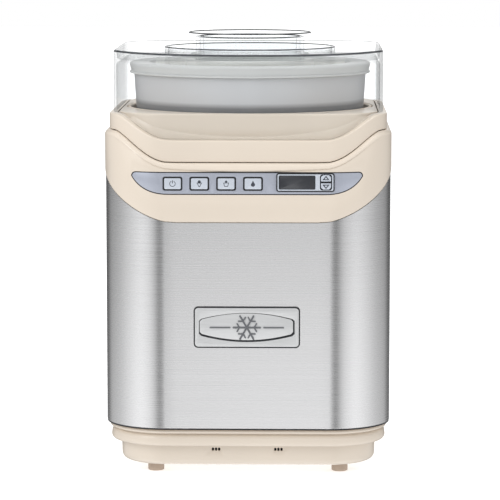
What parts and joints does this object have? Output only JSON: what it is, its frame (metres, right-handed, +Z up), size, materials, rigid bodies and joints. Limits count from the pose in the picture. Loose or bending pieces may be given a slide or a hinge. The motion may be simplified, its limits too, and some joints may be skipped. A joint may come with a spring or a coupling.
{
  "type": "ice cream maker",
  "caption": "Countertop electric ice cream maker: steel body, cream trim, clear lid with spout, lift-out freezer bowl, paddle, geared turntable and press buttons.",
  "frame": {"origin": "on the ground under the centre of the body", "axes": "+Z up; the control panel faces -Y; +X is to the right of someone facing the panel"},
  "size_m": [0.2232, 0.2264, 0.34],
  "materials": {
    "cream_plastic": "satin cream moulding",
    "brushed_steel": "horizontal brushing",
    "foot_rubber": "matte",
    "panel_blue_grey": "metallic blue-grey lacquer",
    "button_silver": "satin silver lacquer",
    "display_dark": "dark window",
    "badge_metal": "satin plate",
    "clear_plastic": "clear moulding",
    "bowl_rim_white": "satin white",
    "bowl_shell_grey": "pearl grey",
    "liner_aluminium": "satin drawn",
    "gel_blue": "coolant, stands in for a gel",
    "paddle_white": "satin white",
    "gear_plastic": "natural acetal",
    "dark_plastic": "matte",
    "machined_steel": "zinc plated",
    "bronze": "machined",
    "board_green": "solder mask"
  },
  "bodies": {
    "housing": {"base_pan": "cream_plastic", "post_front_left": "cream_plastic", "post_front_right": "cream_plastic", "post_rear_left": "cream_plastic", "post_rear_right": "cream_plastic", "control_trim": "cream_plastic", "top_deck": "cream_plastic", "bowl_well": "cream_plastic", "foot_front_left": "foot_rubber", "foot_front_right": "foot_rubber", "foot_rear_left": "foot_rubber", "foot_rear_right": "foot_rubber", "base_screw_front_left": "machined_steel", "base_screw_front_right": "machined_steel", "base_screw_rear_left": "machined_steel", "base_screw_rear_right": "machined_steel", "idler_pin": "machined_steel", "motor_can": "machined_steel", "gearbox_screw_1": "machined_steel", "gearbox_screw_2": "machined_steel", "gearbox_screw_3": "machined_steel", "gearbox_screw_4": "machined_steel", "steel_wrap": "brushed_steel", "badge_plate": "badge_metal", "badge_emblem": "badge_metal", "control_fascia": "panel_blue_grey", "display_bezel": "button_silver", "display_lens": "display_dark", "control_board": "board_green", "power_board": "board_green", "cord_gland": "dark_plastic", "gearbox_tray": "dark_plastic", "gearbox_cover": "dark_plastic", "shaft_bush": "bronze"},
    "turntable": {"drive_plate": "dark_plastic", "drive_shaft": "machined_steel", "output_gear": "gear_plastic"},
    "idler": {"idler_gear": "gear_plastic"},
    "rotor": {"motor_shaft": "machined_steel", "motor_pinion": "bronze"},
    "freezer_bowl": {"bowl_outer": "bowl_shell_grey", "bowl_liner": "liner_aluminium", "coolant_gel": "gel_blue", "bowl_rim": "bowl_rim_white"},
    "paddle": {"mixing_paddle": "paddle_white"},
    "lid": {"lid": "clear_plastic", "lid_spout": "clear_plastic"},
    "cap": {"spout_cap": "clear_plastic"},
    "power_button": {"power_button": "button_silver"},
    "ice_cream_button": {"ice_cream_button": "button_silver"},
    "gelato_button": {"gelato_button": "button_silver"},
    "sorbet_button": {"sorbet_button": "button_silver"},
    "timer_up_key": {"timer_up_key": "button_silver"},
    "timer_down_key": {"timer_down_key": "button_silver"}
  },
  "joints": [
    {"name": "lid_lift", "type": "slide", "parent": "housing", "child": "lid", "axis": [0, 0, 1], "range_m": [0, 0.36]},
    {"name": "cap_lift", "type": "slide", "parent": "lid", "child": "cap", "axis": [0, 0, 1], "range_m": [0, 0.06]},
    {"name": "paddle_lift", "type": "slide", "parent": "housing", "child": "paddle", "axis": [0, 0, 1], "range_m": [0, 0.28]},
    {"name": "bowl_spin", "type": "hinge", "parent": "housing", "child": "turntable", "pos_m": [0, 0, 0.156], "axis": [0, 0, 1], "continuous": true},
    {"name": "bowl_lift", "type": "slide", "parent": "turntable", "child": "freezer_bowl", "axis": [0, 0, 1], "range_m": [0, 0.14]},
    {"name": "idler_spin", "type": "hinge", "parent": "housing", "child": "idler", "pos_m": [0, 0.03562, 0.118], "axis": [0, 0, 1], "continuous": true},
    {"name": "motor_spin", "type": "hinge", "parent": "housing", "child": "rotor", "pos_m": [0, 0.06062, 0.118], "axis": [0, 0, 1], "continuous": true},
    {"name": "power_button_press", "type": "slide", "parent": "housing", "child": "power_button", "axis": [0, 1, 0], "range_m": [0, 0.0015], "stiffness_N_per_m": 500},
    {"name": "ice_cream_button_press", "type": "slide", "parent": "housing", "child": "ice_cream_button", "axis": [0, 1, 0], "range_m": [0, 0.0015], "stiffness_N_per_m": 500},
    {"name": "gelato_button_press", "type": "slide", "parent": "housing", "child": "gelato_button", "axis": [0, 1, 0], "range_m": [0, 0.0015], "stiffness_N_per_m": 500},
    {"name": "sorbet_button_press", "type": "slide", "parent": "housing", "child": "sorbet_button", "axis": [0, 1, 0], "range_m": [0, 0.0015], "stiffness_N_per_m": 500},
    {"name": "timer_up_key_press", "type": "slide", "parent": "housing", "child": "timer_up_key", "axis": [0, 1, 0], "range_m": [0, 0.001], "stiffness_N_per_m": 500},
    {"name": "timer_down_key_press", "type": "slide", "parent": "housing", "child": "timer_down_key", "axis": [0, 1, 0], "range_m": [0, 0.001], "stiffness_N_per_m": 500}
  ],
  "couplings": [
    {"joint": "paddle_lift", "follows": "lid_lift", "ratio": 0.77},
    {"joint": "bowl_lift", "follows": "lid_lift", "ratio": 0.38},
    {"joint": "idler_spin", "follows": "bowl_spin", "ratio": -3.75},
    {"joint": "motor_spin", "follows": "bowl_spin", "ratio": 15}
  ]
}
